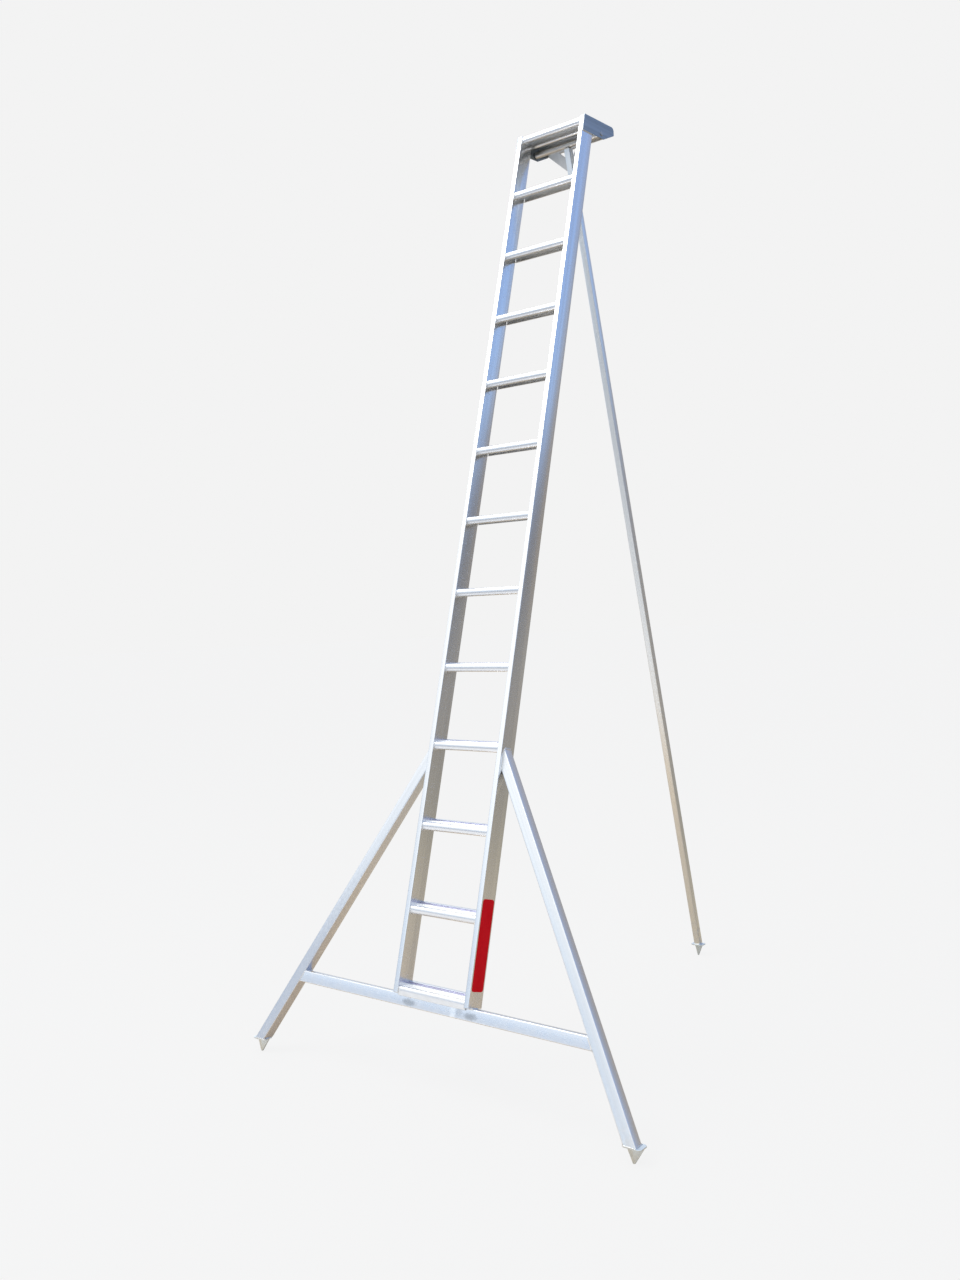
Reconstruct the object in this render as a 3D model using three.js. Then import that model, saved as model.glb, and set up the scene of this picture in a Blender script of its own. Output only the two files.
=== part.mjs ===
// Aluminium orchard tripod ladder: two box stiles with twelve welded treads and a small top
// platform, two splayed front legs with a cross bar, and one rear prop leg on a hinge rod.
//
// Axes: +X to the right of someone climbing, -Y towards the climber, +Y towards the rear prop,
// +Z up. The three spike tips stand on Z = 0. Units are millimetres.

import * as THREE from "three";

// ---------------------------------------------------------------- driving dimensions

const LEAN = THREE.MathUtils.degToRad(16.2);
const ORIGIN_SHIFT = -1011.37;

const OUTER_WIDTH = 355;
const STILE_WIDTH = 21;
const STILE_DEPTH = 75;
const STILE_WALL = 1.5;
const STILE_START = 337.3;

const TREAD_PITCH = 300;
const FIRST_TREAD = 358;
const SECOND_TREAD = 636.5;
const TREAD_DEPTH = 76;
const TREAD_HEIGHT = 31;
const FIRST_TREAD_HEIGHT = 20;
const TREAD_COUNT = 12;

const PLATE_TOP = 3768;
const PLANK_TOP = 3763;
const PLANK_DEPTH = 71.5;
const PLANK_STEP = 72.3;
const END_PLATE_DEPTH = 224;
const END_PLATE_HEIGHT = 76;
const END_PLATE_THICKNESS = 3;

const LEG_WIDTH = 42;
const LEG_WALL = 2;
const LEG_SETBACK = 14;
const LEG_SPLAY = THREE.MathUtils.degToRad(30.85);
const LEG_HEAD = 1186;
const CROSSBAR_TOP = 337;

const PIVOT_BACK = 124;
const PIVOT_HEIGHT = 3713;
const HINGE_TUBE_RADIUS = 14;
const HINGE_TUBE_BORE = 11.3;
const ROD_RADIUS = 6;
const REAR_FOOT_Y = 1984;
const REAR_WIDTH = 28;
const REAR_DEPTH = 30;
const REAR_WALL = 1.6;

const FOOT_PLATE_THICKNESS = 4;
const SPIKE_HEIGHT = 47;
const GAP = 0.3;

// ---------------------------------------------------------------- materials

function metal(color, roughness) {
  return new THREE.MeshStandardMaterial({ color, roughness, metalness: 0.9 });
}

function plastic(color, roughness) {
  return new THREE.MeshStandardMaterial({ color, roughness, metalness: 0 });
}

// ---------------------------------------------------------------- sections and shapes

function roundedRectangle(target, width, depth, radius, steps) {
  const points = [];
  const corners = [
    [width / 2 - radius, depth / 2 - radius, 0],
    [-width / 2 + radius, depth / 2 - radius, 90],
    [-width / 2 + radius, -depth / 2 + radius, 180],
    [width / 2 - radius, -depth / 2 + radius, 270],
  ];
  for (const [x, y, start] of corners) {
    for (let i = 0; i <= steps; i += 1) {
      const angle = THREE.MathUtils.degToRad(start + (90 * i) / steps);
      points.push(new THREE.Vector2(x + radius * Math.cos(angle), y + radius * Math.sin(angle)));
    }
  }
  target.setFromPoints(points);
  return target;
}

function boxSection(width, depth, wall, radius) {
  const section = roundedRectangle(new THREE.Shape(), width, depth, radius, 3);
  const bore = roundedRectangle(new THREE.Path(), width - 2 * wall, depth - 2 * wall, radius * 0.5, 1);
  section.holes.push(bore);
  return section;
}

// A straight tube from one point to another. Each end is cut by its own plane, so a tube can be
// mitred to the piece that it meets. The section's x follows `side`.
function cutTube(name, section, from, to, side, cutFrom, cutTo, material) {
  const axis = to.clone().sub(from).normalize();
  const across = side.clone().addScaledVector(axis, -side.dot(axis)).normalize();
  const depthwise = axis.clone().cross(across);
  const basis = new THREE.Matrix4().makeBasis(across, depthwise, axis);
  const length = from.distanceTo(to);
  const geometry = new THREE.ExtrudeGeometry(section, { depth: length, bevelEnabled: false });
  const inverse = basis.clone().transpose();
  const lower = cutFrom.clone().applyMatrix4(inverse);
  const upper = cutTo.clone().applyMatrix4(inverse);
  const position = geometry.attributes.position;
  for (let i = 0; i < position.count; i += 1) {
    const atStart = position.getZ(i) < length / 2;
    const normal = atStart ? lower : upper;
    const slope = (normal.x * position.getX(i) + normal.y * position.getY(i)) / normal.z;
    position.setZ(i, (atStart ? 0 : length) - slope);
  }
  geometry.computeVertexNormals();
  const mesh = new THREE.Mesh(geometry, material);
  mesh.name = name;
  mesh.position.copy(from);
  mesh.quaternion.setFromRotationMatrix(basis);
  return mesh;
}

// A flat piece: the shape's own x and y, extruded through `thickness` and centred on it.
function flatPiece(name, shape, thickness, material) {
  const geometry = new THREE.ExtrudeGeometry(shape, { depth: thickness, bevelEnabled: false, curveSegments: 10 });
  geometry.translate(0, 0, -thickness / 2);
  const mesh = new THREE.Mesh(geometry, material);
  mesh.name = name;
  return mesh;
}

// A turned piece whose axis lies along X. The profile holds [radius, x] pairs.
function turnedPiece(name, profile, segments, material) {
  const points = profile.map(([radius, x]) => new THREE.Vector2(radius, x));
  const geometry = new THREE.LatheGeometry(points, segments);
  geometry.rotateZ(-Math.PI / 2);
  const mesh = new THREE.Mesh(geometry, material);
  mesh.name = name;
  return mesh;
}

// Anti-slip ribs along a tread's top, drawn from the rear to the front. The broad front field
// is closely ribbed, then comes a wide plain groove and one broad rear ridge.
function ribbedTop(depth) {
  const points = [];
  const groove = depth - 34;
  points.push([depth, -0.4], [depth - 0.8, 0], [depth - 13.9, 0], [depth - 14.5, -4]);
  points.push([groove + 1, -4]);
  for (let y = groove; y > 16.5; y -= 7) {
    points.push([y, -0.2], [y - 1.2, 0], [y - 3.6, 0], [y - 4.8, -1.2]);
  }
  return points;
}

// Adds the points of an elliptical arc to an outline, from one angle to another in degrees.
function addArc(outline, y, z, depthRadius, heightRadius, from, to, steps) {
  for (let i = 0; i <= steps; i += 1) {
    const angle = THREE.MathUtils.degToRad(from + ((to - from) * i) / steps);
    outline.push([y + depthRadius * Math.cos(angle), z + heightRadius * Math.sin(angle)]);
  }
}

// Tread section: a hollow bull nose, a ribbed top and a rear flange with a small lip. Where
// `noseHeight` is more than `height`, the lower half of the nose hangs down as a thin lip.
function treadSection(depth, height, noseHeight) {
  const outline = ribbedTop(depth);
  const bore = [];
  const noseDepth = 11;
  const middle = -noseHeight / 2;
  const hanging = noseHeight > height;
  addArc(outline, noseDepth, middle, noseDepth, -middle, 90, 180, 7);
  addArc(bore, noseDepth, middle, noseDepth - 1.8, -middle - 3, 90, 180, 4);
  if (hanging) {
    addArc(outline, 2, 2 - noseHeight, 2, 2, 180, 360, 6);
    outline.push([4, -height]);
    bore.push([1.8, 2.4 - height], [2.4, 1.8 - height]);
  } else {
    addArc(outline, noseDepth, middle, noseDepth, -middle, 192, 270, 6);
    addArc(bore, noseDepth, middle, noseDepth - 1.8, -middle - 1.8, 202.5, 270, 3);
  }
  bore.push([20.2, 1.8 - height], [20.2, -3]);
  outline.push([20, -height], [22, 2 - height], [22, -3.2], [depth - 37, -3.2], [depth - 35, -5.8]);
  outline.push([depth - 2, -5.8], [depth - 2, 2 - height], [depth - 9, 2 - height]);
  outline.push([depth - 9, -height], [depth, -height]);
  const section = new THREE.Shape(outline.map(([y, z]) => new THREE.Vector2(y, z)));
  section.holes.push(new THREE.Path(bore.map(([y, z]) => new THREE.Vector2(y, z))));
  return section;
}

// Extrudes a (y, z) section along X, centred on X = 0.
function alongX(name, section, length, material) {
  const geometry = new THREE.ExtrudeGeometry(section, { depth: length, bevelEnabled: false });
  geometry.translate(0, 0, -length / 2);
  geometry.rotateY(Math.PI / 2);
  geometry.rotateX(Math.PI / 2);
  const mesh = new THREE.Mesh(geometry, material);
  mesh.name = name;
  return mesh;
}

// ---------------------------------------------------------------- the front frame

const X_AXIS = new THREE.Vector3(1, 0, 0);
const Y_AXIS = new THREE.Vector3(0, 1, 0);
const Z_AXIS = new THREE.Vector3(0, 0, 1);

const ladder = new THREE.Group();
ladder.position.y = ORIGIN_SHIFT;

// Inside the leaning frame, y is the depth behind the stiles' front faces and z runs up them.
const frontFrame = new THREE.Group();
frontFrame.rotation.x = -LEAN;
ladder.add(frontFrame);

const worldUp = Z_AXIS.clone().applyAxisAngle(X_AXIS, LEAN);

function frontPlane(up) {
  return new THREE.Vector3(0, up * Math.sin(LEAN), up * Math.cos(LEAN));
}

function buildStile(name, sign) {
  const x = sign * (OUTER_WIDTH - STILE_WIDTH) / 2;
  const y = STILE_DEPTH / 2;
  const top = (PLANK_TOP + y * Math.sin(LEAN)) / Math.cos(LEAN);
  const section = boxSection(STILE_WIDTH, STILE_DEPTH, STILE_WALL, 2.5);
  const foot = new THREE.Vector3(x, y, STILE_START);
  const head = new THREE.Vector3(x, y, top);
  return cutTube(name, section, foot, head, X_AXIS, Z_AXIS, worldUp, metal(0xd3d9e2, 0.38));
}

frontFrame.add(buildStile("stile_left", -1));
frontFrame.add(buildStile("stile_right", 1));

// The first tread stands on the cross bar, and its nose hangs in front of it.
function buildTread(number) {
  const up = number === 1 ? FIRST_TREAD : SECOND_TREAD + (number - 2) * TREAD_PITCH;
  const name = `tread_${String(number).padStart(2, "0")}`;
  const length = OUTER_WIDTH - 2 * STILE_WIDTH - 2 * GAP;
  const height = number === 1 ? FIRST_TREAD_HEIGHT : TREAD_HEIGHT;
  const section = treadSection(TREAD_DEPTH, height, TREAD_HEIGHT);
  const mesh = alongX(name, section, length, metal(0xd8dde4, 0.35));
  mesh.position.copy(frontPlane(up));
  return mesh;
}

for (let number = 1; number <= TREAD_COUNT; number += 1) {
  ladder.add(buildTread(number));
}

// ---------------------------------------------------------------- front legs and cross bar

const legDepth = LEG_SETBACK + LEG_WIDTH / 2;
const legSection = boxSection(LEG_WIDTH, LEG_WIDTH, LEG_WALL, 4);
const footPlateTop = SPIKE_HEIGHT + FOOT_PLATE_THICKNESS + GAP;

// The point of the leg's centre line at a height above the ground, in the frame's own axes.
function legAxis(sign, up) {
  const x = OUTER_WIDTH / 2 + (LEG_HEAD - up) * Math.tan(LEG_SPLAY);
  return new THREE.Vector3(sign * x, legDepth, up);
}

const legFootUp = (footPlateTop + GAP + legDepth * Math.sin(LEAN)) / Math.cos(LEAN);
const legFootX = legAxis(1, legFootUp).x;

function buildFrontLeg(name, sign) {
  const foot = legAxis(sign, legFootUp);
  const head = legAxis(sign, LEG_HEAD);
  head.x += sign * GAP;
  return cutTube(name, legSection, foot, head, X_AXIS, worldUp, X_AXIS, metal(0xc9cfd9, 0.4));
}

frontFrame.add(buildFrontLeg("front_leg_left", -1));
frontFrame.add(buildFrontLeg("front_leg_right", 1));

function buildCrossbar() {
  const up = CROSSBAR_TOP - LEG_WIDTH / 2;
  const reach = legAxis(1, up).x - LEG_WIDTH / 2 / Math.cos(LEG_SPLAY) - GAP;
  const left = new THREE.Vector3(-reach, legDepth, up);
  const right = new THREE.Vector3(reach, legDepth, up);
  const rightCut = new THREE.Vector3(Math.cos(LEG_SPLAY), 0, Math.sin(LEG_SPLAY));
  const leftCut = new THREE.Vector3(Math.cos(LEG_SPLAY), 0, -Math.sin(LEG_SPLAY));
  return cutTube("crossbar", legSection, left, right, Y_AXIS, leftCut, rightCut, metal(0xccd4e0, 0.4));
}

frontFrame.add(buildCrossbar());

// ---------------------------------------------------------------- feet

function footPlateShape(width, depth) {
  const x = width / 2;
  const y = depth / 2;
  const corner = 8;
  return new THREE.Shape([
    new THREE.Vector2(-x, -y + corner),
    new THREE.Vector2(-x + corner, -y),
    new THREE.Vector2(x - corner, -y),
    new THREE.Vector2(x, -y + corner),
    new THREE.Vector2(x, y - corner),
    new THREE.Vector2(x - corner, y),
    new THREE.Vector2(-x + corner, y),
    new THREE.Vector2(-x, y - corner),
  ]);
}

// A spike is a length of steel angle, cut to a point and welded under the foot plate.
function spikeGeometry(halfWidth, fold, height) {
  const t = 5;
  const shape = new THREE.Shape([
    new THREE.Vector2(0, 0),
    new THREE.Vector2(halfWidth, fold),
    new THREE.Vector2(halfWidth, fold + t),
    new THREE.Vector2(0, t),
    new THREE.Vector2(-halfWidth, fold + t),
    new THREE.Vector2(-halfWidth, fold),
  ]);
  const geometry = new THREE.ExtrudeGeometry(shape, { depth: height, bevelEnabled: false });
  const position = geometry.attributes.position;
  for (let i = 0; i < position.count; i += 1) {
    if (position.getZ(i) < height / 2) {
      const x = position.getX(i);
      const lean = (Math.abs(x) / halfWidth) * fold;
      position.setX(i, x * 0.1);
      position.setY(i, position.getY(i) - lean * 0.9);
    }
  }
  geometry.computeVertexNormals();
  return geometry;
}

function buildFoot(names, x, y, width, depth, spikeHalfWidth) {
  const plate = flatPiece(names[0], footPlateShape(width, depth), FOOT_PLATE_THICKNESS, metal(0xb9bdc2, 0.5));
  plate.position.set(x, y, SPIKE_HEIGHT + GAP + FOOT_PLATE_THICKNESS / 2);
  const spikeShape = spikeGeometry(spikeHalfWidth, 10, SPIKE_HEIGHT);
  const spike = new THREE.Mesh(spikeShape, metal(0xa9adb3, 0.55));
  spike.name = names[1];
  spike.position.set(x, y - 8, 0);
  return [plate, spike];
}

const frontFootY = legDepth * Math.cos(LEAN) + legFootUp * Math.sin(LEAN);
ladder.add(...buildFoot(["foot_plate_left", "spike_left"], -legFootX - 8, frontFootY, 70, 46, 33));
ladder.add(...buildFoot(["foot_plate_right", "spike_right"], legFootX + 8, frontFootY, 70, 46, 33));

// ---------------------------------------------------------------- top platform

const platformFront = PLANK_TOP * Math.tan(LEAN);
const stileInside = OUTER_WIDTH / 2 - STILE_WIDTH;

// The stiles pass the front plank; the two planks behind them reach the end plates.
function buildPlank(name, index) {
  const halfLength = index === 0 ? stileInside - GAP : OUTER_WIDTH / 2;
  const section = treadSection(PLANK_DEPTH, TREAD_HEIGHT, TREAD_HEIGHT);
  const mesh = alongX(name, section, 2 * halfLength, metal(0xd5dae2, 0.36));
  const clearance = index === 0 ? 0 : 7;
  mesh.position.set(0, platformFront + index * PLANK_STEP + clearance, PLANK_TOP);
  return mesh;
}

ladder.add(buildPlank("platform_plank_front", 0));
ladder.add(buildPlank("platform_plank_middle", 1));
ladder.add(buildPlank("platform_plank_rear", 2));

const pivotY = platformFront + PIVOT_BACK;

// End plate: front edge along the stile, straight top, rounded rear corner, and a bottom edge
// that slants up to the rear.
function endPlateShape() {
  const lean = Math.tan(LEAN);
  const front = (PLATE_TOP - PLANK_TOP) * lean;
  const bottom = PLATE_TOP - END_PLATE_HEIGHT;
  const rear = END_PLATE_DEPTH;
  const shape = new THREE.Shape();
  shape.moveTo(front - END_PLATE_HEIGHT * lean, bottom);
  shape.lineTo(140, bottom);
  shape.lineTo(rear - 3, PLATE_TOP - 38);
  shape.lineTo(rear, PLATE_TOP - 34);
  shape.lineTo(rear, PLATE_TOP - 16);
  shape.absarc(rear - 16, PLATE_TOP - 16, 16, 0, Math.PI / 2, false);
  shape.lineTo(front, PLATE_TOP);
  const hole = new THREE.Path();
  hole.absarc(PIVOT_BACK, PIVOT_HEIGHT, ROD_RADIUS + GAP, 0, 2 * Math.PI, true);
  shape.holes.push(hole);
  return shape;
}

function buildEndPlate(name, sign) {
  const mesh = flatPiece(name, endPlateShape(), END_PLATE_THICKNESS, metal(0x9aa6bf, 0.42));
  mesh.geometry.rotateX(Math.PI / 2);
  mesh.geometry.rotateZ(Math.PI / 2);
  const x = OUTER_WIDTH / 2 + GAP + END_PLATE_THICKNESS / 2;
  mesh.position.set(sign * x, platformFront, 0);
  return mesh;
}

ladder.add(buildEndPlate("end_plate_left", -1));
ladder.add(buildEndPlate("end_plate_right", 1));

// The hinge rod runs from end plate to end plate and is riveted over outside each of them.
const rodReach = OUTER_WIDTH / 2 + 2 * GAP + END_PLATE_THICKNESS;
const rodProfile = [
  [0, -rodReach - 3],
  [7, -rodReach - 3],
  [10, -rodReach - 1.4],
  [10, -rodReach],
  [ROD_RADIUS, -rodReach],
  [ROD_RADIUS, rodReach],
  [10, rodReach],
  [10, rodReach + 1.4],
  [7, rodReach + 3],
  [0, rodReach + 3],
];
const hingeRod = turnedPiece("hinge_rod", rodProfile, 24, metal(0x9a9da1, 0.4));
hingeRod.position.set(0, pivotY, PIVOT_HEIGHT);
ladder.add(hingeRod);

function buildWasher(name, sign) {
  const inner = ROD_RADIUS + GAP;
  const profile = [
    [inner, -0.8],
    [12, -0.8],
    [12, 0.8],
    [inner, 0.8],
    [inner, -0.8],
  ];
  const washer = turnedPiece(name, profile, 24, metal(0xb4b7ba, 0.35));
  washer.position.set(sign * (OUTER_WIDTH / 2 - 1.2), pivotY, PIVOT_HEIGHT);
  return washer;
}

ladder.add(buildWasher("hinge_washer_left", -1));
ladder.add(buildWasher("hinge_washer_right", 1));

// ---------------------------------------------------------------- label

// A plain rounded label on the outer face of the right stile.
const labelShape = roundedRectangle(new THREE.Shape(), 62, 308, 9, 4);
const label = flatPiece("label_plate", labelShape, 0.6, plastic(0xb0121f, 0.45));
label.geometry.rotateY(Math.PI / 2);
label.geometry.rotateX(Math.PI / 2);
label.position.set(OUTER_WIDTH / 2 + GAP + 0.3, STILE_DEPTH / 2, 545);
frontFrame.add(label);

// ---------------------------------------------------------------- rear prop leg

// The leg hangs from a hinge tube. Its group has the hinge axis as its origin, and its z points
// up along the leg.
const legLean = Math.atan2(REAR_FOOT_Y - pivotY, PIVOT_HEIGHT);
const rearLeg = new THREE.Group();
rearLeg.position.set(0, pivotY, PIVOT_HEIGHT);
rearLeg.rotation.x = legLean;
ladder.add(rearLeg);

const tubeHalf = OUTER_WIDTH / 2 - 4.6;
const tubeProfile = [
  [HINGE_TUBE_BORE, -tubeHalf],
  [HINGE_TUBE_RADIUS, -tubeHalf],
  [HINGE_TUBE_RADIUS, tubeHalf],
  [HINGE_TUBE_BORE, tubeHalf],
  [HINGE_TUBE_BORE, -tubeHalf],
];
rearLeg.add(turnedPiece("hinge_tube", tubeProfile, 28, metal(0xb8b7b0, 0.42)));

function buildBush(name, sign) {
  const inner = ROD_RADIUS + GAP;
  const outer = HINGE_TUBE_BORE - GAP;
  const profile = [
    [inner, -24],
    [outer, -24],
    [outer, 0.4],
    [13, 0.4],
    [13, 2.2],
    [inner, 2.2],
    [inner, -24],
  ];
  const bush = turnedPiece(name, profile, 24, plastic(0x2a2c2e, 0.6));
  bush.position.x = sign * tubeHalf;
  bush.rotation.y = sign > 0 ? 0 : Math.PI;
  return bush;
}

rearLeg.add(buildBush("hinge_bush_left", -1));
rearLeg.add(buildBush("hinge_bush_right", 1));

const rearSection = boxSection(REAR_WIDTH, REAR_DEPTH, REAR_WALL, 3);
const rearLength = Math.hypot(REAR_FOOT_Y - pivotY, PIVOT_HEIGHT);
const rearFootUp = (footPlateTop + GAP) / Math.cos(legLean);
const rearBottom = new THREE.Vector3(0, 0, -rearLength + rearFootUp);
const rearTop = new THREE.Vector3(0, 0, -HINGE_TUBE_RADIUS - GAP);
const upFromLeg = Z_AXIS.clone().applyAxisAngle(X_AXIS, -legLean);
const rearTube = cutTube(
  "rear_leg_tube",
  rearSection,
  rearBottom,
  rearTop,
  X_AXIS,
  upFromLeg,
  Z_AXIS,
  metal(0xc3c1b8, 0.42),
);
rearLeg.add(rearTube);

// Gusset: a triangular brace between the hinge tube and the leg, with a hole in its corner.
function buildGusset(name, sign) {
  const inner = REAR_WIDTH / 2 + GAP;
  const top = -HINGE_TUBE_RADIUS - GAP;
  const shape = new THREE.Shape([
    new THREE.Vector2(inner, top),
    new THREE.Vector2(inner, top - 96),
    new THREE.Vector2(inner + 6, top - 96),
    new THREE.Vector2(inner + 92, top - 12),
    new THREE.Vector2(inner + 92, top),
  ]);
  const hole = [
    [inner + 6, top - 6],
    [inner + 34, top - 6],
    [inner + 6, top - 36],
  ];
  shape.holes.push(new THREE.Path(hole.map(([x, z]) => new THREE.Vector2(x, z))));
  const mesh = flatPiece(name, shape, 4, metal(0xaaa69c, 0.45));
  mesh.geometry.rotateX(Math.PI / 2);
  mesh.rotation.z = sign > 0 ? 0 : Math.PI;
  return mesh;
}

rearLeg.add(buildGusset("gusset_left", -1));
rearLeg.add(buildGusset("gusset_right", 1));

// Stop lug: a plate on the rear of the hinge tube that meets the planks' flanges when the leg
// is fully open.
function buildStopLug(name, x) {
  const reach = 34;
  const shape = new THREE.Shape([
    new THREE.Vector2(HINGE_TUBE_RADIUS + GAP, -7),
    new THREE.Vector2(reach, 9),
    new THREE.Vector2(reach, 18.7),
    new THREE.Vector2(HINGE_TUBE_RADIUS + GAP, 7),
  ]);
  const mesh = flatPiece(name, shape, 5, metal(0xaaa69c, 0.45));
  mesh.geometry.rotateX(Math.PI / 2);
  mesh.geometry.rotateZ(Math.PI / 2);
  mesh.rotation.x = -legLean;
  mesh.position.x = x;
  return mesh;
}

rearLeg.add(buildStopLug("stop_lug_left", -62));
rearLeg.add(buildStopLug("stop_lug_right", 62));

const rearFoot = buildFoot(["foot_plate_rear", "spike_rear"], 0, 0, 60, 42, 20);
const rearFootGroup = new THREE.Group();
const footRise = footPlateTop + GAP;
rearFootGroup.position.set(0, (REAR_FOOT_Y - pivotY) * (1 - footRise / PIVOT_HEIGHT), -PIVOT_HEIGHT);
rearFootGroup.add(...rearFoot);
const levelled = new THREE.Group();
levelled.rotation.x = -legLean;
levelled.add(rearFootGroup);
rearLeg.add(levelled);

export default ladder;
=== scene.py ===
from math import cos, pi, radians, sin, tan

import bmesh
import bpy
from mathutils import Euler, Matrix, Vector
from mathutils.geometry import tessellate_polygon


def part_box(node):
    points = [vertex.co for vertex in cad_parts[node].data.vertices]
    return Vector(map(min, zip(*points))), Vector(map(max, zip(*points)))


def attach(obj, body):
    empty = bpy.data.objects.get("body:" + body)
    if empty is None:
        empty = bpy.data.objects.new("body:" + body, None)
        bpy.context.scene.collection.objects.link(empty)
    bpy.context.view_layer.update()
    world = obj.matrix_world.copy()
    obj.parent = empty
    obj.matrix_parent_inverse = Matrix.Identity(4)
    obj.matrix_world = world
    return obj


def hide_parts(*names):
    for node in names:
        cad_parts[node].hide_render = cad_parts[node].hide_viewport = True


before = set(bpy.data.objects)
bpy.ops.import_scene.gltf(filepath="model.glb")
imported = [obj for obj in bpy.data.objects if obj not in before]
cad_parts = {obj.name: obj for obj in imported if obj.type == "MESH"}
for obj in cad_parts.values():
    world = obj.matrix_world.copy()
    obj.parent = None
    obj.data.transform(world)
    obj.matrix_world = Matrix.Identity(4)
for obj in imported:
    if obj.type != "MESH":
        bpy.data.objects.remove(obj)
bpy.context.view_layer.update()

# ---------------------------------------------------------------------------------------------
# Stage: a pale floor in a soft white studio with one broad soft light high in front. What the
# metal reflects is darker behind the ladder and bluer beside it. The camera is at eye height.
# ---------------------------------------------------------------------------------------------

scene = bpy.context.scene
scene.view_settings.view_transform = "Standard"

BACKDROP = (0.896, 0.896, 0.896, 1.0)


def add_node(tree, kind, x, y, **settings):
    node = tree.nodes.new(kind)
    node.location = (x, y)
    for key, value in settings.items():
        setattr(node, key, value)
    return node


def colour_stops(ramp, *stops):
    while len(ramp.color_ramp.elements) > 1:
        ramp.color_ramp.elements.remove(ramp.color_ramp.elements[-1])
    ramp.color_ramp.elements[0].position = stops[0][0]
    ramp.color_ramp.elements[0].color = (*stops[0][1], 1.0)
    for position, colour in stops[1:]:
        ramp.color_ramp.elements.new(position).color = (*colour, 1.0)


def map_range(tree, value, low, high, x, y, to=(0.0, 1.0), **settings):
    node = add_node(tree, "ShaderNodeMapRange", x, y, **settings)
    for label, number in (("From Min", low), ("From Max", high), ("To Min", to[0]), ("To Max", to[1])):
        node.inputs[label].default_value = number
    tree.links.new(value, node.inputs["Value"])
    return node.outputs["Result"]


def mix_colours(tree, factor, first, second, x, y):
    node = add_node(tree, "ShaderNodeMix", x, y, data_type="RGBA")
    for source, key in ((factor, "Factor"), (first, 6), (second, 7)):
        tree.links.new(source, node.inputs[key])
    return node.outputs[2]


def build_studio():
    world = bpy.data.worlds.new("studio")
    scene.world = world
    world.use_nodes = True
    tree = world.node_tree
    tree.nodes.clear()
    look = add_node(tree, "ShaderNodeTexCoord", -1100, 0)
    part = add_node(tree, "ShaderNodeSeparateXYZ", -900, 0)
    tree.links.new(look.outputs["Generated"], part.inputs[0])
    # In front of the ladder: white above, pale blue near the floor line.
    front = add_node(tree, "ShaderNodeValToRGB", -500, 200)
    colour_stops(front, (0.0, (0.60, 0.72, 0.90)), (0.11, (0.61, 0.73, 0.90)),
                 (0.18, (0.90, 1.0, 1.12)), (0.25, (1.15, 1.2, 1.25)), (0.34, (1.22, 1.22, 1.22)))
    # Beside it, towards the back right: dull grey at eye height and blue above that.
    beside = add_node(tree, "ShaderNodeValToRGB", -500, -50)
    colour_stops(beside, (0.0, (0.25, 0.24, 0.23)), (0.09, (0.16, 0.15, 0.155)),
                 (0.13, (0.32, 0.33, 0.38)), (0.17, (0.56, 0.82, 1.28)), (0.24, (0.38, 0.59, 1.02)),
                 (0.34, (0.34, 0.49, 0.85)), (1.0, (0.6, 0.7, 0.9)))
    # Straight behind: a warm grey wall that turns cooler higher up.
    behind = add_node(tree, "ShaderNodeValToRGB", -500, -300)
    colour_stops(behind, (0.0, (0.40, 0.335, 0.27)), (0.15, (0.42, 0.36, 0.29)),
                 (0.27, (0.41, 0.38, 0.355)), (0.36, (0.46, 0.45, 0.52)), (1.0, (0.6, 0.7, 0.9)))
    for ramp in (front, beside, behind):
        tree.links.new(part.outputs["Z"], ramp.inputs[0])
    back_right = add_node(tree, "ShaderNodeVectorMath", -900, -300, operation="DOT_PRODUCT")
    back_right.inputs[1].default_value = (0.62, 0.78, 0.0)
    tree.links.new(look.outputs["Generated"], back_right.inputs[0])
    turned = map_range(tree, back_right.outputs["Value"], 0.05, 0.6, -700, -300,
                       interpolation_type="SMOOTHSTEP")
    rear = map_range(tree, part.outputs["Y"], 0.82, 0.87, -700, -500, interpolation_type="SMOOTHSTEP")
    back = mix_colours(tree, rear, beside.outputs["Color"], behind.outputs["Color"], -200, -200)
    room = mix_colours(tree, turned, front.outputs["Color"], back, -200, 50)
    glow = add_node(tree, "ShaderNodeBackground", 0, 50)
    tree.links.new(room, glow.inputs["Color"])
    backdrop = add_node(tree, "ShaderNodeBackground", 0, -100)
    backdrop.inputs["Color"].default_value = BACKDROP
    path = add_node(tree, "ShaderNodeLightPath", 0, 300)
    choose = add_node(tree, "ShaderNodeMixShader", 220, 50)
    tree.links.new(path.outputs["Is Camera Ray"], choose.inputs[0])
    tree.links.new(glow.outputs[0], choose.inputs[1])
    tree.links.new(backdrop.outputs[0], choose.inputs[2])
    out = add_node(tree, "ShaderNodeOutputWorld", 420, 50)
    tree.links.new(choose.outputs[0], out.inputs[0])


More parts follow.
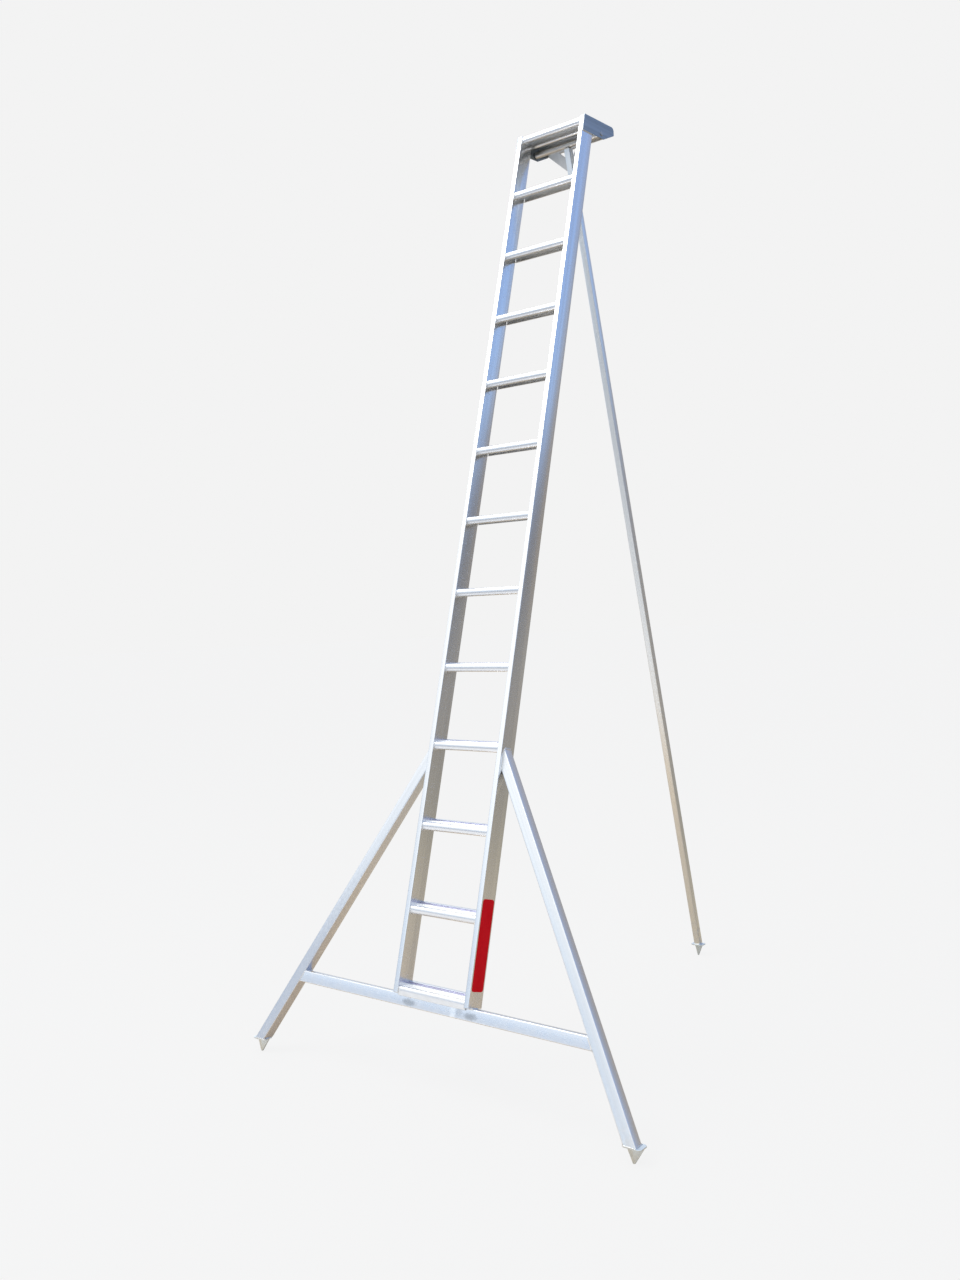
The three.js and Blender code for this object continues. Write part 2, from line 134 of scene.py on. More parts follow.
def build_floor():
    radius, below_feet, sides = 60, 0.0005, 48
    mesh = bpy.data.meshes.new("studio_floor")
    rim = [(radius * cos(2 * pi * i / sides), radius * sin(2 * pi * i / sides), -below_feet)
           for i in range(sides)]
    mesh.from_pydata(rim, [], [list(range(sides))])
    floor = bpy.data.objects.new("studio_floor", mesh)
    scene.collection.objects.link(floor)
    paint = bpy.data.materials.new("studio_floor")
    paint.use_nodes = True
    tree = paint.node_tree
    tree.nodes.clear()
    # Seen directly it is as pale as the backdrop, with a trace of shading.
    pale = add_node(tree, "ShaderNodeEmission", -300, 100)
    pale.inputs["Color"].default_value = BACKDROP
    shade = add_node(tree, "ShaderNodeBsdfDiffuse", -300, 0)
    shade.inputs["Color"].default_value = (0.9, 0.9, 0.9, 1.0)
    seen = add_node(tree, "ShaderNodeMixShader", -100, 80)
    seen.inputs[0].default_value = 0.04
    # Seen in the metal it is concrete, pale by the front feet and brown further back.
    place = add_node(tree, "ShaderNodeTexCoord", -1100, -150)
    part = add_node(tree, "ShaderNodeSeparateXYZ", -900, -150)
    tree.links.new(place.outputs["Object"], part.inputs[0])
    apart = map_range(tree, part.outputs["Y"], -10.0, 14.0, -700, -150)
    tint = add_node(tree, "ShaderNodeValToRGB", -520, -150)
    colour_stops(tint, (0.0, (0.45, 0.46, 0.47)), (0.27, (0.58, 0.58, 0.58)), (0.31, (0.70, 0.70, 0.70)),
                 (0.365, (0.70, 0.69, 0.67)), (0.375, (0.56, 0.445, 0.32)), (0.4, (0.54, 0.435, 0.31)),
                 (0.42, (0.46, 0.39, 0.305)), (0.48, (0.44, 0.375, 0.275)), (0.58, (0.31, 0.28, 0.22)),
                 (0.83, (0.39, 0.335, 0.285)), (1.0, (0.38, 0.35, 0.30)))
    tree.links.new(apart, tint.inputs[0])
    concrete = add_node(tree, "ShaderNodeBsdfDiffuse", -300, -150)
    tree.links.new(tint.outputs["Color"], concrete.inputs["Color"])
    path = add_node(tree, "ShaderNodeLightPath", -100, 300)
    choose = add_node(tree, "ShaderNodeMixShader", 100, 50)
    out = add_node(tree, "ShaderNodeOutputMaterial", 300, 50)
    tree.links.new(pale.outputs[0], seen.inputs[1])
    tree.links.new(shade.outputs[0], seen.inputs[2])
    tree.links.new(path.outputs["Is Camera Ray"], choose.inputs[0])
    tree.links.new(concrete.outputs[0], choose.inputs[1])
    tree.links.new(seen.outputs[0], choose.inputs[2])
    tree.links.new(choose.outputs[0], out.inputs[0])
    mesh.materials.append(paint)


build_studio()
build_floor()

soft_light = bpy.data.objects.new("soft_light", bpy.data.lights.new("soft_light", "AREA"))
soft_light.data.shape = "RECTANGLE"
soft_light.data.size = 4.0
soft_light.data.size_y = 4.0
soft_light.data.energy = 300
soft_light.location = (-2.2, -3.2, 7.2)
light_aim = Vector((0, -0.2, 1.6)) - soft_light.location
soft_light.rotation_euler = light_aim.to_track_quat("-Z", "Y").to_euler()
scene.collection.objects.link(soft_light)

camera = bpy.data.objects.new("camera", bpy.data.cameras.new("camera"))
camera.data.lens = 33.25
camera.data.sensor_width = 36
camera.data.shift_x = -0.0161
camera.data.shift_y = -0.0898
camera.location = (2.902, -4.039, 1.700)
heading, pitch, roll = radians(38.53), radians(3.78), radians(-2.62)
level_view = Euler((radians(90) + pitch, 0, heading)).to_matrix()
camera.rotation_euler = (level_view @ Matrix.Rotation(roll, 3, "Z")).to_euler()
scene.collection.objects.link(camera)
scene.camera = camera

# ---------------------------------------------------------------------------------------------
# Stiles: two extruded aluminium box sections, 75 x 21 mm, leaning 16 degrees. They are cut
# square at the foot, where they stand on the cross bar, and level at the platform.
# ---------------------------------------------------------------------------------------------

LEAN = radians(16.2)
GAP = 0.0003
BAR_TOP = 0.337
STILE_FOOT = BAR_TOP + GAP
STILE_WIDTH = 0.021
STILE_DEPTH = 0.075
STILE_WALL = 0.0015
HALF_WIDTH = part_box("stile_right")[1].x
FRAME_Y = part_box("stile_left")[0].y - STILE_FOOT * sin(LEAN)
PLANK_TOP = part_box("platform_plank_front")[1].z

RIGHT = Vector((1, 0, 0))
BACK = Vector((0, 1, 0))
UP = Vector((0, 0, 1))
FRAME_UP = Vector((0, sin(LEAN), cos(LEAN)))
FRAME_BACK = Vector((0, cos(LEAN), -sin(LEAN)))


def on_frame(x, back, up):
    """A point of the leaning frame: across it, behind the stiles' front faces, and up them."""
    return Vector((x, FRAME_Y, 0)) + FRAME_BACK * back + FRAME_UP * up


def make_group(name, inputs, outputs):
    """An empty shader node group with named sockets, and its input and output nodes."""
    group = bpy.data.node_groups.new(name, "ShaderNodeTree")
    for label, kind, value in inputs:
        socket = group.interface.new_socket(name=label, in_out="INPUT", socket_type=kind)
        if value is not None:
            socket.default_value = value
    for label, kind in outputs:
        group.interface.new_socket(name=label, in_out="OUTPUT", socket_type=kind)
    start = add_node(group, "NodeGroupInput", -1200, 0)
    end = add_node(group, "NodeGroupOutput", 600, 0)
    return group, start, end


def link_math(tree, operation, first, second, x, y, added=0.0):
    """A maths node on two values or sockets. `added` is the third one of MULTIPLY_ADD."""
    node = add_node(tree, "ShaderNodeMath", x, y, operation=operation)
    for socket, value in zip(node.inputs, (first, second, added)):
        if isinstance(value, (int, float)):
            socket.default_value = value
        else:
            tree.links.new(value, socket)
    return node.outputs[0]


def stretched_noise(tree, vector, stretch, scale, detail, x, y):
    """Noise that is drawn out along the axes where `stretch` is small."""
    fit = add_node(tree, "ShaderNodeMapping", x - 200, y)
    fit.inputs["Scale"].default_value = stretch
    noise = add_node(tree, "ShaderNodeTexNoise", x, y)
    noise.inputs["Scale"].default_value = scale
    noise.inputs["Detail"].default_value = detail
    tree.links.new(vector, fit.inputs["Vector"])
    tree.links.new(fit.outputs[0], noise.inputs["Vector"])
    return noise.outputs["Fac"]


def drawn_metal_group():
    """Mill finish of a drawn section: die lines along Z, dull patches, and a few crossways scuffs."""
    number = "NodeSocketFloat"
    group, start, end = make_group(
        "drawn_metal",
        [("Vector", "NodeSocketVector", None), ("Bright", "NodeSocketColor", (0.8, 0.8, 0.8, 1)),
         ("Dull", "NodeSocketColor", (0.5, 0.5, 0.5, 1)), ("Roughness", number, 0.3),
         ("Lines", number, 1.0), ("Scuffs", number, 1.0)],
        [("Color", "NodeSocketColor"), ("Roughness", number), ("Height", number)])
    along = start.outputs["Vector"]
    lines = stretched_noise(group, along, (420, 420, 1.2), 1.0, 3, -800, 300)
    bands = stretched_noise(group, along, (60, 60, 0.5), 1.0, 2, -800, 100)
    patches = stretched_noise(group, along, (1.6, 1.6, 0.12), 9.0, 3, -800, -100)
    scuffs = stretched_noise(group, along, (22, 22, 240), 1.0, 4, -800, -300)
    scuffed = map_range(group, scuffs, 0.62, 0.78, -550, -300)
    scuffed = link_math(group, "MULTIPLY", scuffed, patches, -350, -300)
    scuffed = link_math(group, "MULTIPLY", scuffed, start.outputs["Scuffs"], -180, -300)
    fine = link_math(group, "MULTIPLY", map_range(group, lines, 0.34, 0.66, -550, 300), 0.2, -380, 350)
    broad = map_range(group, bands, 0.34, 0.66, -550, 100)
    streaks = link_math(group, "MULTIPLY_ADD", broad, 0.32, -350, 200, added=fine)
    streaks = link_math(group, "MULTIPLY", streaks, start.outputs["Lines"], -180, 200)
    dullness = link_math(group, "MULTIPLY_ADD", patches, 0.35, 0, 100, added=streaks)
    blend = mix_colours(group, dullness, start.outputs["Bright"], start.outputs["Dull"], 250, 150)
    group.links.new(blend, end.inputs["Color"])
    rough = link_math(group, "MULTIPLY_ADD", dullness, 0.16, 150, -50, added=start.outputs["Roughness"])
    rough_scuffed = link_math(group, "MULTIPLY", scuffed, 0.5, 150, -200)
    group.links.new(link_math(group, "ADD", rough, rough_scuffed, 420, -100), end.inputs["Roughness"])
    height = link_math(group, "SUBTRACT", streaks, scuffed, 420, -250)
    group.links.new(height, end.inputs["Height"])
    return group


def soil_group():
    """Dry soil in blotches: thick at the ground and gone above `Reach`."""
    number = "NodeSocketFloat"
    group, start, end = make_group(
        "soil_dust",
        [("Color", "NodeSocketColor", (0.8, 0.8, 0.8, 1)),
         ("Soil", "NodeSocketColor", (0.3, 0.24, 0.17, 1)),
         ("Reach", number, 0.3), ("Amount", number, 0.5)],
        [("Color", "NodeSocketColor"), ("Mask", number)])
    place = add_node(group, "ShaderNodeTexCoord", -1000, -200)
    part = add_node(group, "ShaderNodeSeparateXYZ", -800, -200)
    group.links.new(place.outputs["Object"], part.inputs[0])
    fade = map_range(group, part.outputs["Z"], 0.0, 1.0, -600, -200, to=(1.0, 0.0),
                     interpolation_type="SMOOTHSTEP")
    group.links.new(start.outputs["Reach"], fade.node.inputs["From Max"])
    blotches = stretched_noise(group, place.outputs["Object"], (1, 1, 1), 38.0, 6, -600, -450)
    crisp = map_range(group, blotches, 0.42, 0.68, -400, -450)
    mask = link_math(group, "MULTIPLY", fade, crisp, -200, -300)
    mask = link_math(group, "MULTIPLY", mask, start.outputs["Amount"], 0, -300)
    blend = mix_colours(group, mask, start.outputs["Color"], start.outputs["Soil"], 250, 0)
    group.links.new(blend, end.inputs["Color"])
    group.links.new(mask, end.inputs["Mask"])
    return group


DRAWN_METAL = drawn_metal_group()
SOIL_DUST = soil_group()


def aluminium(name, bright, dull, roughness, turn=(0, 0, 0), lines=1.0, scuffs=1.0,
              soil=0.0, reach=0.3):
    """A drawn metal finish. `turn` brings the drawing direction round to Z."""
    material = bpy.data.materials.new(name)
    material.use_nodes = True
    tree = material.node_tree
    shader = tree.nodes["Principled BSDF"]
    shader.inputs["Metallic"].default_value = 1.0
    place = add_node(tree, "ShaderNodeTexCoord", -1300, 0)
    align = add_node(tree, "ShaderNodeMapping", -1100, 0)
    align.inputs["Rotation"].default_value = turn
    tree.links.new(place.outputs["Object"], align.inputs["Vector"])
    drawn = add_node(tree, "ShaderNodeGroup", -850, 0, node_tree=DRAWN_METAL)
    drawn.inputs["Bright"].default_value = (*bright, 1)
    drawn.inputs["Dull"].default_value = (*dull, 1)
    drawn.inputs["Roughness"].default_value = roughness
    drawn.inputs["Lines"].default_value = lines
    drawn.inputs["Scuffs"].default_value = scuffs
    tree.links.new(align.outputs[0], drawn.inputs["Vector"])
    dusty = add_node(tree, "ShaderNodeGroup", -600, 100, node_tree=SOIL_DUST)
    dusty.inputs["Amount"].default_value = soil
    dusty.inputs["Reach"].default_value = reach
    tree.links.new(drawn.outputs["Color"], dusty.inputs["Color"])
    tree.links.new(dusty.outputs["Color"], shader.inputs["Base Color"])
    rough = link_math(tree, "MULTIPLY_ADD", dusty.outputs["Mask"], 0.5, -380, -50,
                      added=drawn.outputs["Roughness"])
    tree.links.new(rough, shader.inputs["Roughness"])
    if soil:
        bare = link_math(tree, "SUBTRACT", 1.0, dusty.outputs["Mask"], -380, 200)
        tree.links.new(bare, shader.inputs["Metallic"])
    bump = add_node(tree, "ShaderNodeBump", -380, -300)
    bump.inputs["Strength"].default_value = 0.25
    bump.inputs["Distance"].default_value = 0.0003
    tree.links.new(drawn.outputs["Height"], bump.inputs["Height"])
    tree.links.new(bump.outputs[0], shader.inputs["Normal"])
    return material


def rounded_box(width, depth, radius, steps):
    """The outline of a box section, with `steps` facets round each corner."""
    ring = []
    for x, y, first in ((1, 1, 0), (-1, 1, 90), (-1, -1, 180), (1, -1, 270)):
        for i in range(steps + 1):
            angle = radians(first + 90 * i / steps)
            ring.append((x * (width / 2 - radius) + radius * cos(angle),
                         y * (depth / 2 - radius) + radius * sin(angle)))
    return ring


def add_piece(name, vertices, faces, finish, body, slot, *nodes):
    """Show a mesh that rides with a body and takes the place of any nodes named. `slot` is not used."""
    mesh = bpy.data.meshes.new(name)
    mesh.from_pydata(vertices, [], faces)
    tidy = bmesh.new()
    tidy.from_mesh(mesh)
    bmesh.ops.recalc_face_normals(tidy, faces=tidy.faces)
    tidy.to_mesh(mesh)
    tidy.free()
    mesh.shade_smooth()
    mesh.set_sharp_from_angle(angle=radians(32))
    mesh.materials.append(finish)
    piece = bpy.data.objects.new(name, mesh)
    scene.collection.objects.link(piece)
    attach(piece, body)
    if nodes:
        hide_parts(*nodes)
    return piece


def skin(rings):
    """Faces of a solid between two copies of a section: both caps, then the walls of each ring."""
    total = sum(len(ring) for ring in rings)
    caps = tessellate_polygon([[Vector((u, v, 0)) for u, v in ring] for ring in rings])
    faces = [tuple(cap) for cap in caps] + [tuple(total + i for i in reversed(cap)) for cap in caps]
    first = 0
    for ring in rings:
        for i in range(len(ring)):
            a, b = first + i, first + (i + 1) % len(ring)
            faces.append((a, b, total + b, total + a))
        first += len(ring)
    return faces


def cut_bar(rings, start, end, side, cut_start, cut_end):
    """Vertices and faces of a straight bar or tube: section rings (outline, then any bore) swept
    from start to end, each end cut by a plane with its own normal. The section's x follows side."""
    axis = (end - start).normalized()
    across = (side - axis * side.dot(axis)).normalized()
    depthwise = axis.cross(across)
    vertices = []
    for origin, cut in ((start, cut_start), (end, cut_end)):
        for u, v in (point for ring in rings for point in ring):
            offset = across * u + depthwise * v
            vertices.append(origin + offset - axis * (offset.dot(cut) / axis.dot(cut)))
    return vertices, skin(rings)


stile_finish = aluminium("stile_aluminium", (0.90, 0.92, 0.94), (0.66, 0.68, 0.70), 0.17,
                         turn=(LEAN, 0, 0), lines=1.2, soil=0.35, reach=0.5)
for side, sign in (("left", -1), ("right", 1)):
    x = sign * (HALF_WIDTH - STILE_WIDTH / 2)
    head_up = (PLANK_TOP + STILE_DEPTH / 2 * sin(LEAN)) / cos(LEAN)
    foot = on_frame(x, STILE_DEPTH / 2, STILE_FOOT)
    head = on_frame(x, STILE_DEPTH / 2, head_up)
    rings = [rounded_box(STILE_WIDTH, STILE_DEPTH, 0.0025, 5),
             rounded_box(STILE_WIDTH - 2 * STILE_WALL, STILE_DEPTH - 2 * STILE_WALL, 0.0012, 2)]
    add_piece(f"{side}_stile", *cut_bar(rings, foot, head, RIGHT, FRAME_UP, UP),
              stile_finish, "front_frame", "stile_tube", f"stile_{side}")

# ---------------------------------------------------------------------------------------------
# Treads: twelve lengths of one aluminium extrusion with a hollow rounded nose, a ribbed top, a
# wide plain groove and a rear ridge. Each stands level and is welded between the stiles.
# ---------------------------------------------------------------------------------------------

TREAD_HEIGHT = 0.031
FIRST_HEIGHT = 0.020


def tread_rings(depth, height, lip):
    """The tread's section as (back, up) points: its outline and the bore of its bull nose. `lip`
    is the height of the nose. Where it is more than height, its lower half hangs as a thin lip."""
    mm = 0.001
    deep, tall, middle = depth / mm, height / mm, lip / mm / 2
    hanging = lip > height
    nose = 11.0
    # The broad rear ridge, the groove, then rib after rib to the nose.
    outline = [(deep, -1.0), (deep - 0.3, -0.3), (deep - 1.0, 0), (deep - 13.3, 0), (deep - 14, -0.5),
               (deep - 14.5, -3.6), (deep - 14.9, -4), (deep - 33, -4), (deep - 33.5, -3.6)]
    y = deep - 34
    while y > 15.5:
        outline += [(y, -0.3), (y - 0.3, 0), (y - 1.5, 0), (y - 1.8, -0.3),
                    (y - 2.1, -1.1), (y - 3.2, -1.1)]
        y -= 3.5
    outline += [(nose + 1.5, 0)]
    # Down round the nose, as a full bull nose or as a lip.
    bore = []
    for i in range(19):
        angle = radians(90 + 5 * i)
        outline.append((nose + nose * cos(angle), -middle + middle * sin(angle)))
    for i in range(7):
        angle = radians(90 + 15 * i)
        bore.append((nose + (nose - 1.8) * cos(angle), -middle + (middle - 3) * sin(angle)))
    if hanging:
        for i in range(17):
            angle = radians(180 + 11.25 * i)
            outline.append((2 + 2 * cos(angle), 2 - 2 * middle + 2 * sin(angle)))
        outline += [(4, -tall - 0.6), (4.6, -tall)]
        bore += [(1.8, 2.4 - tall), (2.4, 1.8 - tall)]
    else:
        for i in range(1, 19):
            angle = radians(180 + 5 * i)
            outline.append((nose + nose * cos(angle), -middle + middle * sin(angle)))
        for i in range(1, 7):
            angle = radians(180 + 15 * i)
            bore.append((nose + (nose - 1.8) * cos(angle), -middle + (middle - 1.8) * sin(angle)))
    bore += [(20.2, 1.8 - tall), (20.2, -3)]
    # Back along the underside to the rear flange and its inward foot.
    outline += [(20, -tall), (21.4, -tall + 0.5), (22, -tall + 2), (22, -4.4), (23.2, -3.2),
                (deep - 37, -3.2), (deep - 35, -5.8), (deep - 3.4, -5.8), (deep - 2, -7),
                (deep - 2, -tall + 2), (deep - 9, -tall + 2), (deep - 9, -tall),
                (deep - 0.8, -tall), (deep, -tall + 0.8)]
    return [[(y * mm, z * mm) for y, z in ring] for ring in (outline, bore)]


def level_bar(rings, y, z, half_length):
    """A level bar across the ladder. Its section's (back, up) points start at y, z."""
    start = Vector((-half_length, y, z))
    end = Vector((half_length, y, z))
    return cut_bar(rings, start, end, BACK, RIGHT, RIGHT)


tread_finish = aluminium("tread_aluminium", (0.90, 0.91, 0.92), (0.70, 0.71, 0.72), 0.22,
                         turn=(0, radians(90), 0), lines=0.8, scuffs=0.7, soil=0.15, reach=0.8)
# Painted shade: the bottom of each groove is coloured darker and bluer than the tread, for the shade and
# reflection in the recess.
groove_painted_shade_finish = aluminium("groove_painted_shade", (0.60, 0.60, 0.74), (0.46, 0.47, 0.60), 0.34,
                          turn=(0, radians(90), 0), lines=0.5, scuffs=0.5, soil=0.3, reach=1.0)


def extruded_tread(name, node, height):
    """One length of the extrusion, with the bottom of its groove in painted shade: a darker, bluer finish of
    its own.
    """
    low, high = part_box(node)
    rings = tread_rings(high.y - low.y, height, TREAD_HEIGHT)
    piece = add_piece(name, *level_bar(rings, low.y, high.z, high.x),
                      tread_finish, "front_frame", "tread_extrusion", node)
    piece.data.materials.append(groove_painted_shade_finish)
    for face in piece.data.polygons:
        from_rear, down = high.y - face.center.y, high.z - face.center.z
        if 0.0136 < from_rear < 0.034 and 0.0001 < down < 0.0045:
            face.material_index = 1


TREADS = [f"tread_{number:02d}" for number in range(1, 13)]
for number, node in enumerate(TREADS, start=1):
    extruded_tread(f"step_{number:02d}", node, FIRST_HEIGHT if number == 1 else TREAD_HEIGHT)

# ---------------------------------------------------------------------------------------------
# Front legs and cross bar: 42 mm square aluminium tube. The legs butt on the stiles' outer faces,
# the bar is mitred between the legs, and the stiles stand on it.
# ---------------------------------------------------------------------------------------------

LEG_WIDTH = 0.042
LEG_WALL = 0.002
LEG_FRONT = 0.014
LEG_BACK = LEG_FRONT + LEG_WIDTH / 2
LEG_SPLAY = radians(30.85)
LEG_HALF_CUT = LEG_WIDTH / 2 / cos(LEG_SPLAY)
LEG_HEAD = 1.186
CROSSBAR_UP = BAR_TOP - LEG_WIDTH / 2
leg_rings = [rounded_box(LEG_WIDTH, LEG_WIDTH, 0.004, 6),
             rounded_box(LEG_WIDTH - 2 * LEG_WALL, LEG_WIDTH - 2 * LEG_WALL, 0.002, 2)]


def leg_x(up):
    """How far the middle of a front leg stands out to the side at this height of the frame."""
    return HALF_WIDTH + (LEG_HEAD - up) * tan(LEG_SPLAY)


def painted_light_patch_group():
    """A soft-edged patch of painted light around `Centre`: painted shade, painted reflection and painted
    glint in the metal's colour.
    """
    number, vector = "NodeSocketFloat", "NodeSocketVector"
    group, start, end = make_group(
        "painted_light_patch",
        [("Vector", vector, None), ("Color", "NodeSocketColor", (0.8, 0.8, 0.8, 1)),
         ("Painted Colour", "NodeSocketColor", (0.4, 0.4, 0.42, 1)), ("Centre", vector, None),
         ("Reach", vector, (1, 1, 1)), ("Amount", number, 0.5)],
        [("Color", "NodeSocketColor")])
    away = add_node(group, "ShaderNodeVectorMath", -900, 0, operation="SUBTRACT")
    scaled = add_node(group, "ShaderNodeVectorMath", -700, 0, operation="DIVIDE")
    distance = add_node(group, "ShaderNodeVectorMath", -500, 0, operation="LENGTH")
    group.links.new(start.outputs["Vector"], away.inputs[0])
    group.links.new(start.outputs["Centre"], away.inputs[1])
    group.links.new(away.outputs[0], scaled.inputs[0])
    group.links.new(start.outputs["Reach"], scaled.inputs[1])
    group.links.new(scaled.outputs[0], distance.inputs[0])
    ragged = stretched_noise(group, start.outputs["Vector"], (1, 1, 1), 90.0, 4, -500, -200)
    edge = link_math(group, "ADD", distance.outputs["Value"], ragged, -300, 0)
    fade = map_range(group, edge, 0.9, 1.7, -120, 0, to=(1.0, 0.0), interpolation_type="SMOOTHSTEP")
    mask = link_math(group, "MULTIPLY", fade, start.outputs["Amount"], 80, 0)
    blend = mix_colours(group, mask, start.outputs["Color"], start.outputs["Painted Colour"], 250, 0)
    group.links.new(blend, end.inputs["Color"])
    return group


PAINTED_LIGHT_PATCH = painted_light_patch_group()


def paint_light_patch(material, centre, reach, amount, colour):
    """Put one more patch of painted light or shade under everything that the finish shows so far."""
    tree = material.node_tree
    shader = tree.nodes["Principled BSDF"]
    place = add_node(tree, "ShaderNodeTexCoord", -600, 500)
    mark = add_node(tree, "ShaderNodeGroup", -300, 400, node_tree=PAINTED_LIGHT_PATCH)
    mark.inputs["Centre"].default_value = centre
    mark.inputs["Reach"].default_value = reach
    mark.inputs["Amount"].default_value = amount
    mark.inputs["Painted Colour"].default_value = (*colour, 1)
    tree.links.new(place.outputs["Object"], mark.inputs["Vector"])
    tree.links.new(shader.inputs["Base Color"].links[0].from_socket, mark.inputs["Color"])
    tree.links.new(mark.outputs["Color"], shader.inputs["Base Color"])


leg_finish_left = aluminium("left_leg_aluminium", (0.88, 0.90, 0.93), (0.70, 0.72, 0.74), 0.24,
                            turn=(LEAN, -LEG_SPLAY, 0), lines=1.4, soil=0.2, reach=0.2)
leg_finish_right = aluminium("right_leg_aluminium", (0.88, 0.91, 0.93), (0.69, 0.71, 0.73), 0.24,
                             turn=(LEAN, LEG_SPLAY, 0), lines=1.4, soil=0.15, reach=0.2)
FOOT_PLATE_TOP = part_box("foot_plate_left")[1].z
leg_foot_up = (FOOT_PLATE_TOP + GAP + LEG_BACK * sin(LEAN)) / cos(LEAN)
# Painted shade: the left leg's colour is painted darker towards its foot, in a broad patch.
paint_light_patch(leg_finish_left, on_frame(-leg_x(leg_foot_up), LEG_BACK, leg_foot_up),
      (0.75, 0.75, 0.75), 0.9, (0.60, 0.62, 0.66))
for side, sign, finish in (("left", -1, leg_finish_left), ("right", 1, leg_finish_right)):
    foot = on_frame(sign * leg_x(leg_foot_up), LEG_BACK, leg_foot_up)
    head = on_frame(sign * (leg_x(LEG_HEAD) + 0.0002), LEG_BACK, LEG_HEAD)
    add_piece(f"{side}_front_leg", *cut_bar(leg_rings, foot, head, RIGHT, UP, RIGHT),
              finish, "front_frame", "leg_tube", f"front_leg_{side}")

bar_reach = leg_x(CROSSBAR_UP) - LEG_HALF_CUT
bar_left = on_frame(-bar_reach, LEG_BACK, CROSSBAR_UP)
bar_right = on_frame(bar_reach, LEG_BACK, CROSSBAR_UP)
bar_cut_left = RIGHT * cos(LEG_SPLAY) - FRAME_UP * sin(LEG_SPLAY)
bar_cut_right = RIGHT * cos(LEG_SPLAY) + FRAME_UP * sin(LEG_SPLAY)
bar_finish = aluminium("crossbar_aluminium", (0.88, 0.91, 0.95), (0.72, 0.75, 0.79), 0.22,
                       turn=(0, radians(90), 0), lines=1.4, soil=0.12, reach=0.6)
# Painted shade and painted highlight on the bar's front face: three dark patches of painted shade by the
# welds and a bright upright strip of painted glint.
painted_shade, painted_glint = (0.40, 0.41, 0.42), (0.97, 0.99, 1.0)
for x, up, wide, tall, amount, colour in (
        (-0.107, 0.312, 0.038, 0.013, 0.65, painted_shade), (0.180, 0.312, 0.032, 0.013, 0.7, painted_shade),
        (0.128, 0.318, 0.018, 0.016, 0.35, painted_shade), (0.100, 0.316, 0.014, 0.04, 1.0, painted_glint)):
    paint_light_patch(bar_finish, on_frame(x, LEG_FRONT, up), (wide, 0.02, tall), amount, colour)
add_piece("cross_bar", *cut_bar(leg_rings, bar_left, bar_right, FRAME_BACK, bar_cut_left, bar_cut_right),
          bar_finish, "front_frame", "leg_tube", "crossbar")

# ---------------------------------------------------------------------------------------------
# Feet: a flat plate with clipped corners under each leg, and below it a spike of thick angle cut
# to a point. Both are aluminium, welded on, and scraped and soiled by the ground.
# ---------------------------------------------------------------------------------------------


def plate(name, outline, place, thickness, finish, body, slot, *nodes, holes=(), bevel=0.0006):
    """A flat plate with bevelled edges. place turns a (x, y, z) point of the flat drawing into the
    ladder's space."""
    rings = [outline, *holes]
    vertices = [place @ Vector((x, y, z)) for z in (-thickness / 2, thickness / 2)
                for ring in rings for x, y in ring]
    piece = add_piece(name, vertices, skin(rings), finish, body, slot, *nodes)
    merged = bmesh.new()
    merged.from_mesh(piece.data)
    bmesh.ops.dissolve_limit(merged, angle_limit=radians(0.5), verts=merged.verts, edges=merged.edges)
    large = {face for face in merged.faces if len(face.verts) > 4 or face.calc_area() > thickness * 0.02}
    rims = [edge for edge in merged.edges
            if len(edge.link_faces) == 2 and edge.calc_face_angle(0) > radians(60)
            and not large.isdisjoint(edge.link_faces)]
    bmesh.ops.bevel(merged, geom=rims, offset=bevel, segments=2, profile=0.5, affect="EDGES",
                    clamp_overlap=True)
    merged.to_mesh(piece.data)
    merged.free()
    piece.data.shade_smooth()
    piece.data.set_sharp_from_angle(angle=radians(20))
    return piece


def clipped_rectangle(width, depth, corner):
    x, y = width / 2, depth / 2
    return [(-x, -y + corner), (-x + corner, -y), (x - corner, -y), (x, -y + corner),
            (x, y - corner), (x - corner, y), (-x + corner, y), (-x, y - corner)]


def refinish(node, finish):
    """Give a solid that is shown as it is a finish of its own."""
    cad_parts[node].data.materials.clear()
    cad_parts[node].data.materials.append(finish)


FEET = (("left", "front_frame"), ("right", "front_frame"), ("rear", "rear_leg"))
foot_finish = aluminium("foot_aluminium", (0.74, 0.82, 0.87), (0.52, 0.58, 0.62), 0.36,
                        lines=0.4, scuffs=2.0, soil=0.15, reach=0.07)
for side, body in FEET:
    low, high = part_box(f"foot_plate_{side}")
    size = high - low
    plate(f"{side}_foot", clipped_rectangle(size.x, size.y, 0.008),
          Matrix.Translation((low + high) / 2), size.z,
          foot_finish, body, "foot_metal", f"foot_plate_{side}")
    refinish(f"spike_{side}", foot_finish)

# ---------------------------------------------------------------------------------------------
# Platform: three planks of the tread extrusion side by side, and a 3 mm end plate outside each
# stile, with a rounded rear corner and a bottom edge that slants up to the rear.
# ---------------------------------------------------------------------------------------------

for place_name in ("front", "middle", "rear"):
    extruded_tread(f"{place_name}_plank", f"platform_plank_{place_name}", TREAD_HEIGHT)

PLATFORM_FRONT = FRAME_Y + PLANK_TOP * tan(LEAN)
PIVOT = Vector((0, PLATFORM_FRONT + 0.124, 3.713))
ROD_HOLE_RADIUS = 0.0063


def end_plate_outline():
    """The end plate as (y, z) points: its front edge follows the stiles."""
    low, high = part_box("end_plate_right")
    slope, corner = tan(LEAN), 0.016
    front = PLATFORM_FRONT + (high.z - PLANK_TOP) * slope
    outline = [(front - (high.z - low.z) * slope, low.z), (PLATFORM_FRONT + 0.140, low.z),
               (high.y - 0.003, high.z - 0.038), (high.y, high.z - 0.034)]
    for i in range(13):
        angle = radians(7.5 * i)
        outline.append((high.y - corner + corner * cos(angle), high.z - corner + corner * sin(angle)))
    outline.append((front, high.z))
    return outline


def circle(x, y, radius, count):
    angles = [2 * pi * i / count for i in range(count)]
    return [(x + radius * cos(angle), y + radius * sin(angle)) for angle in angles]


